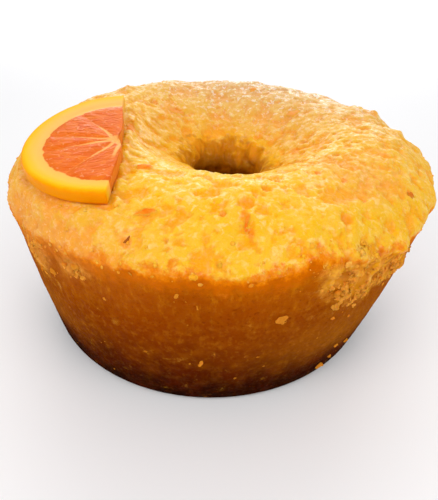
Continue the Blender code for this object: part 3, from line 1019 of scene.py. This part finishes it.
torn_sponge = lay_torn_bits()
run_tree(torn_sponge, torn_relief(crumb_material(
    "torn_crumb", (240, 176, 84), (206, 118, 20), (206, 126, 34))), {
    "Raggedness": 0.0008,
    "Crumb Height": 0.0003,
})
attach(torn_sponge, "root")


# Orange zest: short shreds grated from the peel into the batter. The ones at the surface show
# as flat orange scraps, soft and soaked, and two of them are scorched.

ZEST_LIFT = 0.0004
ZEST_SUNK = 0.0006
# Angle in degrees, distance from the rim's axis, length, width, turn in degrees, how burnt
ZEST = (
    (-119.5, 0.0594, 0.0066, 0.0056, 30, 0.0),
    (130.6, 0.0387, 0.0095, 0.0034, -8, 0.0),
    (-107.4, 0.0842, 0.0080, 0.0022, 8, 0.0),
    (37.3, 0.0475, 0.0076, 0.0054, 10, 0.0),
    (-34.8, 0.0912, 0.0040, 0.0024, 40, 0.4),
    (-84.0, 0.0850, 0.0056, 0.0016, 80, 0.0),
    (-108.9, 0.0935, 0.0025, 0.0009, 35, 0.8),
    (72.0, 0.0560, 0.0046, 0.0036, 60, 0.0),
    (165.0, 0.0620, 0.0058, 0.0018, 70, 0.0),
)
ZEST_ROWS = 15
ZEST_COLUMNS = 5
ZEST_TAPER = 0.80
ZEST_RAGGEDNESS = 0.22
ZEST_BEND = 0.15
ABOVE_CAKE = 0.2


def close_strip(bm, upper, lower, rows, columns):
    """Faces over and under a strip of points, and round its edge."""
    for row in range(rows - 1):
        for column in range(columns - 1):
            corner = row * columns + column
            square = (corner, corner + 1, corner + columns + 1, corner + columns)
            bm.faces.new([upper[index] for index in square])
            bm.faces.new([lower[index] for index in reversed(square)])
    edge = list(range(columns))
    edge += [row * columns + columns - 1 for row in range(1, rows)]
    edge += [(rows - 1) * columns + column for column in range(columns - 2, -1, -1)]
    edge += [row * columns for row in range(rows - 2, 0, -1)]
    for here, there in zip(edge, edge[1:] + edge[:1]):
        bm.faces.new((upper[here], lower[here], lower[there], upper[there]))


def build_zest():
    """Short strips, ragged at their edges, laid over the crown's lumps."""
    bm = bmesh.new()
    burnt, faded, inset = [], [], []
    for number, (degrees, radius, length, width, turn, scorched) in enumerate(ZEST):
        angle, lean = math.radians(degrees), math.radians(turn)
        middle = RIM_CENTRE + radius * np.array((math.cos(angle), math.sin(angle)))
        upper, lower = [], []
        for share in np.linspace(-1.0, 1.0, ZEST_ROWS):
            narrow = 1.0 - ZEST_TAPER * abs(share) ** 3
            narrow *= 1.0 + ZEST_RAGGEDNESS * math.sin(6 * share + number)
            bend = ZEST_BEND * length * (share ** 2 - 0.4) * math.sin(2.3 * number)
            for side in np.linspace(-1.0, 1.0, ZEST_COLUMNS):
                ahead = 0.5 * length * share
                aside = 0.5 * width * side * narrow + bend
                x = middle[0] + ahead * math.cos(lean) - aside * math.sin(lean)
                y = middle[1] + ahead * math.sin(lean) + aside * math.cos(lean)
                hit = CAKE_SURFACE.ray_cast(Vector((x, y, ABOVE_CAKE)), Vector((0.0, 0.0, -1.0)))[0]
                rounded = ZEST_LIFT * (1.0 - side ** 4) * (1.0 - share ** 6)
                upper.append(bm.verts.new((x, y, hit.z + rounded)))
                lower.append(bm.verts.new((x, y, hit.z - ZEST_SUNK)))
                inset += [(1.0 - abs(side) ** 3) * (1.0 - share ** 4)] * 2
        burnt += [scorched] * (2 * len(upper))
        # zest on the far side of the crown is painted paler: a painted sheen
        faded += [min(max(1.5 * math.sin(angle), 0.0), 0.9)] * (2 * len(upper))
        close_strip(bm, upper, lower, ZEST_ROWS, ZEST_COLUMNS)
    return built("orange_zest", bm, burnt=burnt, faded=faded, inset=inset)


def zest_material():
    material, tree, shader = start_material("soaked_orange_zest")
    place = own_place(tree)
    colour = mix(fade(grain(place, 0.0030, 3.0), 0.38, 0.62), paint(248, 116, 6),
                 paint(250, 142, 28))
    # far-side zest mixed toward pale peach: painted sheen
    colour = overlay(colour, (attribute(tree, "faded"), (246, 164, 80)))
    inset = plus(attribute(tree, "inset"), sway(place, 0.0015, 0.4, 3.0))
    colour = mix(fade(inset, 0.10, 0.80), paint(246, 172, 52), colour)
    feed(shader, {
        "Base Color": overlay(colour, (attribute(tree, "burnt"), (130, 58, 8))),
        "Roughness": 0.45,
        "Specular IOR Level": 0.0,
        "Coat Weight": 0.16,
        "Coat Roughness": 0.22,
        "Subsurface Weight": 0.30,
        "Subsurface Radius": (1.0, 0.45, 0.08),
        "Subsurface Scale": 0.002,
        "Normal": fine_bump(place, 0.0009, 0.8, 0.0004),
    })
    return material


orange_zest = build_zest()
orange_zest.data.materials.append(zest_material())
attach(orange_zest, "root")


# The half slice of orange: a disc cut across a pink-fleshed orange and halved, laid on the
# crown while it was sticky. Yellow rind outside, pale pith, and wet flesh in segments that are
# parted by thin membranes and filled with long juice sacs that point away from the core.

SLICE_THICKNESS = 0.0055
SLICE_SAG = 1.7
SLICE_HALF_ANGLE = math.radians(89)
RIND_EDGE_ROUND = 0.0012
SLICE_COLUMNS = 280
SLICE_ROWS = 60
RIND_ROWS = 5
CUT_STEPS = 6
CORE_REACH = 0.0007
CORE_SIDE = 0.0035
MEMBRANES = tuple(math.radians(turn) for turn in (-56, -13, 14, 57))
SIDE_MEMBRANE = math.radians(87)
# How far the cut waves beyond a straight line, at distances along it from the core
CUT_SIDES = (-0.0400, -0.0280, -0.0170, -0.0046, -0.0005, 0.0020, 0.0045, 0.0087, 0.0226, 0.0350,
             0.0400)
CUT_WAVES = (0.0, 0.0, 0.0010, 0.0012, 0.0006, -0.0003, 0.0012, 0.0024, 0.0014, 0.0003, 0.0)
CUT_WAVE_REACH = 0.012
FLESH_SHARE = 0.755
FLESH_LEAN = 0.075
FLESH_EDGE_FADE = 0.06
FLESH_CROWN = 0.0004
MEMBRANE_DIP = 0.0002
MEMBRANE_VALLEY = 0.0028
PITH_DIP = 0.0002
PITH_DIP_WIDTH = 0.04
SAC_WIDTH = 0.0026


def in_the_fruit(reach, side):
    """Share of the slice's radius and turn round its middle, at a place on its face."""
    forward, across = reach / SLICE_REACH, side / SLICE_HALF_CUT
    return np.hypot(forward, across), np.arctan2(across, forward)


def flesh_edge(turn):
    """Share of the slice's radius where flesh ends: the pith is thicker at the back."""
    return FLESH_SHARE + FLESH_LEAN * np.sin(turn)


def away_from_membrane(reach, side):
    """Distance to the nearest membrane, each a line from the core."""
    forward, across = reach - CORE_REACH, side - CORE_SIDE
    nearest = np.full(np.shape(reach), 1.0)
    for turn in MEMBRANES:
        beside = np.abs(across * math.cos(turn) - forward * math.sin(turn))
        ahead = across * math.sin(turn) + forward * math.cos(turn) > 0.0
        nearest = np.where(ahead, np.minimum(nearest, beside), nearest)
    return nearest


def slice_lift(reach, side):
    """Low relief of the cut face: each segment swells between its membranes and the pith."""
    share, turn = in_the_fruit(reach, side)
    inside = np.clip((flesh_edge(turn) - share) / FLESH_EDGE_FADE, 0.0, 1.0)
    risen = np.clip(away_from_membrane(reach, side) / MEMBRANE_VALLEY, 0.0, 1.0)
    flesh = inside * (risen * (FLESH_CROWN + MEMBRANE_DIP) - MEMBRANE_DIP)
    return flesh - PITH_DIP * swell(share - flesh_edge(turn), PITH_DIP_WIDTH, PITH_DIP_WIDTH)


def slice_path():
    """Share and lift along one column, from the top of the core round the rind to its foot."""
    inset = RIND_EDGE_ROUND / SLICE_REACH
    upper = [(share, 0.0) for share in np.linspace(0.0, 1.0, SLICE_ROWS + 1) * (1.0 - inset)]
    for step in range(1, RIND_ROWS + 1):
        turn = step / RIND_ROWS * math.pi / 2
        upper.append((1.0 - inset * (1.0 - math.sin(turn)),
                      -RIND_EDGE_ROUND * (1.0 - math.cos(turn))))
    lower = [(share, -SLICE_THICKNESS - lift) for share, lift in reversed(upper)]
    return upper, lower


def build_half_slice():
    """The slice while it is flat: a fan of columns round the core, closed along the cut."""
    bm = bmesh.new()
    upper, lower = slice_path()

    def vertex(share, turn, lift, top=False):
        reach = SLICE_REACH * share * math.cos(turn)
        side = SLICE_HALF_CUT * share * math.sin(turn)
        if top:
            lift += float(slice_lift(np.float64(reach), np.float64(side)))
        return bm.verts.new((reach, side, lift))

    def face(*corners):
        corners = list(dict.fromkeys(corners))
        if len(corners) > 2:
            bm.faces.new(corners)

    cores = [vertex(0.0, 0.0, 0.0, True)]
    for step in range(1, CUT_STEPS + 1):
        cores.append(vertex(0.0, 0.0, -SLICE_THICKNESS * step / CUT_STEPS))
    columns = []
    for turn in np.linspace(-SLICE_HALF_ANGLE, SLICE_HALF_ANGLE, SLICE_COLUMNS + 1):
        above = [vertex(share, turn, lift, True) for share, lift in upper[1:]]
        below = [vertex(share, turn, lift) for share, lift in lower[:-1]]
        columns.append([cores[0]] + above + below + [cores[-1]])
    for here, there in zip(columns, columns[1:]):
        for row in range(len(here) - 1):
            face(here[row], here[row + 1], there[row + 1], there[row])
    for column in (columns[0], columns[-1]):
        before = cores
        for row in range(1, len(upper)):
            top, foot = column[row], column[-1 - row]
            between = [bm.verts.new(top.co.lerp(foot.co, step / CUT_STEPS))
                       for step in range(1, CUT_STEPS)]
            after = [top] + between + [foot]
            for step in range(CUT_STEPS):
                face(before[step], before[step + 1], after[step + 1], after[step])
            before = after
    return built("half_orange_slice", bm)


def lay_slice(mesh):
    """Store each point's place in the fruit, then bend the flat slice onto the crown."""
    flat = np.empty(len(mesh.vertices) * 3)
    mesh.vertices.foreach_get("co", flat)
    reach, side, lift = flat.reshape(-1, 3).T
    share, turn = in_the_fruit(reach, side)
    forward, across = reach - CORE_REACH, side - CORE_SIDE
    add_layers(mesh, from_core=np.hypot(forward, across), bearing=np.arctan2(across, forward),
               into_peel=(share - flesh_edge(turn)) * SLICE_REACH, share=share,
               depth=-lift / SLICE_THICKNESS)
    wave = np.interp(side, CUT_SIDES, CUT_WAVES)
    reach = reach - wave * np.clip(1.0 - reach / CUT_WAVE_REACH, 0.0, 1.0)
    lift = lift - SLICE_SAG * np.maximum(reach, 0.0) ** 2
    placed = (np.array(SLICE_CORE) + np.outer(reach, SLICE_OUT) + np.outer(side, SLICE_ALONG)
              + np.outer(lift, SLICE_UP))
    mesh.vertices.foreach_set("co", placed.ravel())
    mesh.update()


def juice_place(from_core, bearing):
    """Place in the flesh: along the sacs, which point away from the core, and across them."""
    across = times(bearing, plus(from_core, 0.004))
    return put("ShaderNodeCombineXYZ", {0: times(from_core, 0.75), 1: across, 2: 0.0})


def slice_relief(material):
    """Juice sacs on the flesh and pores on the rind."""
    tree, given, place = tree_with("slice_relief", ("Sac Height", "Sac Width", "Pore Depth"))
    cells = put("ShaderNodeTexVoronoi", {
        "Vector": juice_place(layer(tree, "from_core"), layer(tree, "bearing")),
        "Scale": reckon("DIVIDE", 1.0, given["Sac Width"]), "Smoothness": 0.6,
    }, feature="SMOOTH_F1")
    flesh = fade(layer(tree, "into_peel"), -0.0012, 0.0, 1.0, 0.0)
    sacs = times(minus(0.45, cells), flesh, given["Sac Height"])
    rind = fade(layer(tree, "share"), 0.975, 0.99)
    pores = times(pits(place, 0.0016, 0.7, 0.0006, 0.3), rind, given["Pore Depth"])
    upper = fade(layer(tree, "depth"), 0.85, 0.98, 1.0, 0.0)
    return finish_tree(push(given["Geometry"], times(minus(sacs, pores), upper)), material)


def slice_material():
    material, tree, shader = start_material("pink_orange_fruit")
    place = own_place(tree)
    from_core, bearing, share, depth = (attribute(tree, title)
                                        for title in ("from_core", "bearing", "share", "depth"))

    # Flesh in sacs, each a little lighter or deeper than the next
    noise = put("ShaderNodeTexNoise", {"Vector": place, "Scale": 350.0}, out=1)
    juice = put("ShaderNodeVectorMath", {0: juice_place(from_core, bearing),
                1: stretched(noise, (0.0006,) * 3)}, operation="ADD")
    cells, walls = (put("ShaderNodeTexVoronoi", {"Vector": juice, "Scale": 1.0 / SAC_WIDTH},
                        feature=feature) for feature in ("F1", "DISTANCE_TO_EDGE"))
    draw = put("ShaderNodeSeparateXYZ", {0: cells.node.outputs["Color"]})

    # Membranes from the core, strongest near it, and one beside the cut
    wavy = sway(place, 0.006, 0.0007)

    def beside(swing):
        return reckon("ABSOLUTE", scaled(reckon("SINE", swing), from_core, wavy))

    near = 1.0
    for turn in MEMBRANES:
        swing = minus(bearing, turn)
        behind = reckon("LESS_THAN", reckon("COSINE", swing), 0.0)
        near = reckon("MINIMUM", near, plus(beside(swing), behind))
    thick = fade(from_core, 0.002, 0.020, 0.0008, 0.00025)
    line = fade(reckon("DIVIDE", near, thick), 0.4, 1.2, 1.0, 0.0)
    side_line = times(fade(beside(minus(bearing, SIDE_MEMBRANE)), 0.0002, 0.0009, 1.0, 0.0),
                      fade(from_core, 0.010, 0.017, 1.0, 0.0),
                      reckon("GREATER_THAN", bearing, 0.0))
    flesh = overlay(
        mix(draw, paint(224, 97, 14), paint(234, 117, 26)),
        (fade(walls, 0.0, 0.14, 0.14, 0.0), (244, 146, 66)),
        (fade(grain(place, 0.009, 3.0), 0.42, 0.66, 0.0, 0.3), (218, 86, 18)),
        # small pale dots on the flesh: painted glints
        (fade(grain(place, 0.0017, 1.0), 0.62, 0.72, 0.0, 0.40), (248, 176, 120)),
        (times(line, fade(from_core, 0.008, 0.024, 0.95, 0.08)), (250, 178, 96)),
        (side_line, (250, 178, 96)),
        (fade(from_core, 0.0018, 0.0040, 1.0, 0.0), (250, 174, 90)),
        # the flesh painted paler down its cut side and edges: painted light
        (fade(depth, 0.04, 0.30, 0.0, 0.65), (240, 148, 50)),
    )

    # Pith and rind, which reach in a little between the segments
    into_peel = scaled(grain(place, 0.003, 3.0), 0.0014,
                       plus(attribute(tree, "into_peel"), -0.0007))
    pithy = fade(plus(into_peel, fade(near, 0.0, 0.0026, 0.0005, 0.0)), -0.0003, 0.0003)
    peel = colour_steps(scaled(grain(place, 0.006), 0.03, plus(share, -0.015)), (
        (0.00, (248, 182, 96)), (0.80, (249, 186, 94)), (0.88, (250, 190, 76)),
        (0.95, (250, 190, 24)), (0.985, (249, 168, 0)), (1.00, (243, 146, 0)),
    ))
    outer = times(fade(depth, 0.08, 0.5), fade(share, 0.975, 0.99))
    grit = put("ShaderNodeGroup", {"Place": place, "Size": 0.0008}, node_tree=GRIT)
    sacs = times(fade(walls, 0.0, 0.25), minus(1.0, pithy))
    feed(shader, {
        "Base Color": mix(pithy, flesh, overlay(peel, (outer, (236, 144, 0)))),
        "Roughness": fade(pithy, 0.0, 1.0, 0.26, 0.42),
        "Specular IOR Level": 0.02,
        "Coat Weight": fade(pithy, 0.0, 1.0, 0.07, 0.03),
        "Coat Roughness": 0.10,
        "Subsurface Weight": 0.25,
        "Subsurface Radius": (1.0, 0.4, 0.15),
        "Subsurface Scale": 0.003,
        "Normal": put("ShaderNodeBump", {"Height": scaled(grit, 0.35, sacs), "Strength": 0.35,
                      "Distance": 0.0003}),
    })
    return material


half_slice = build_half_slice()
lay_slice(half_slice.data)
run_tree(half_slice, slice_relief(slice_material()), {
    "Sac Height": 0.00026,
    "Sac Width": SAC_WIDTH,
    "Pore Depth": 0.0002,
})
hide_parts("orange_slice")
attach(half_slice, "root")


# The floor, the soft light of the room and the camera at the photograph's angle.
# A pale floor lies under the cake, a low window shines from behind, the ceiling is lit softly
# and two broad lights stand at the front.

FLOOR_HALF = 3.0
FLOOR_LEVEL = -0.0002
floor_mesh = bpy.data.meshes.new("floor")
floor_mesh.from_pydata([(x * FLOOR_HALF, y * FLOOR_HALF, FLOOR_LEVEL)
                        for x, y in ((-1, -1), (1, -1), (1, 1), (-1, 1))], [], [(0, 1, 2, 3)])
floor_material, _, floor_shader = start_material("pale_floor")
feed(floor_shader, {"Base Color": (0.92, 0.92, 0.93, 1.0), "Roughness": 0.8})
floor_mesh.materials.append(floor_material)
floor = set_out("floor", floor_mesh)


def soft_light(name, place, aim, size, power, colour):
    lamp = bpy.data.lights.new(name, "AREA")
    lamp.shape = "RECTANGLE"
    lamp.size, lamp.size_y = size
    lamp.energy = power
    lamp.color = colour
    thing = set_out(name, lamp)
    thing.location = place
    thing.rotation_euler = (Vector(aim) - Vector(place)).to_track_quat("-Z", "Y").to_euler()


CAKE_MIDDLE = (0.0, 0.0, 0.08)
soft_light("window_behind", (0.10, 2.40, 0.64), CAKE_MIDDLE, (2.50, 0.90), 28.0, (1.0, 0.99, 0.97))
soft_light("ceiling", (0.0, 1.70, 1.60), (0.0, 1.70, 0.0), (2.60, 1.50), 21.0, (1.0, 0.99, 0.98))
soft_light("front_left", (-0.28, -0.32, 0.38), CAKE_MIDDLE, (0.28, 0.24), 0.93, (1.0, 0.98, 0.96))
soft_light("front_right", (0.27, -0.30, 0.39), CAKE_MIDDLE, (0.28, 0.24), 0.81, (1.0, 0.98, 0.96))

room = bpy.data.worlds.new("room")
room.use_nodes = True
feed(room.node_tree.nodes["Background"], {"Color": (0.97, 0.98, 1.0, 1.0), "Strength": 0.54})
bpy.context.scene.world = room
bpy.context.scene.view_settings.view_transform = "Standard"

CAMERA_BACK = 0.2085
CAMERA_HEIGHT = 0.1633
CAMERA_PITCH = math.radians(34.318)
CAMERA_YAW = math.radians(-0.064)
CAMERA_ROLL = math.radians(1.324)
FOCAL_PIXELS = 440
FRAME_HEIGHT_PIXELS = 500
SENSOR_WIDTH = 36.0
ahead = Vector((math.sin(CAMERA_YAW) * math.cos(CAMERA_PITCH),
                math.cos(CAMERA_YAW) * math.cos(CAMERA_PITCH), -math.sin(CAMERA_PITCH)))
level_right = Vector((math.cos(CAMERA_YAW), -math.sin(CAMERA_YAW), 0.0))
level_up = level_right.cross(ahead)
right = level_right * math.cos(CAMERA_ROLL) + level_up * math.sin(CAMERA_ROLL)
upward = level_up * math.cos(CAMERA_ROLL) - level_right * math.sin(CAMERA_ROLL)
camera = set_out("camera", bpy.data.cameras.new("camera"))
camera.data.sensor_width = SENSOR_WIDTH
camera.data.lens = FOCAL_PIXELS * SENSOR_WIDTH / FRAME_HEIGHT_PIXELS
camera.data.clip_start = 0.01
camera.matrix_world = Matrix.Translation(
    (RIM_CENTRE[0], RIM_CENTRE[1] - CAMERA_BACK, CAMERA_HEIGHT)) @ Matrix(
    (right, upward, -ahead)).transposed().to_4x4()
bpy.context.scene.camera = camera

bpy.context.view_layer.update()
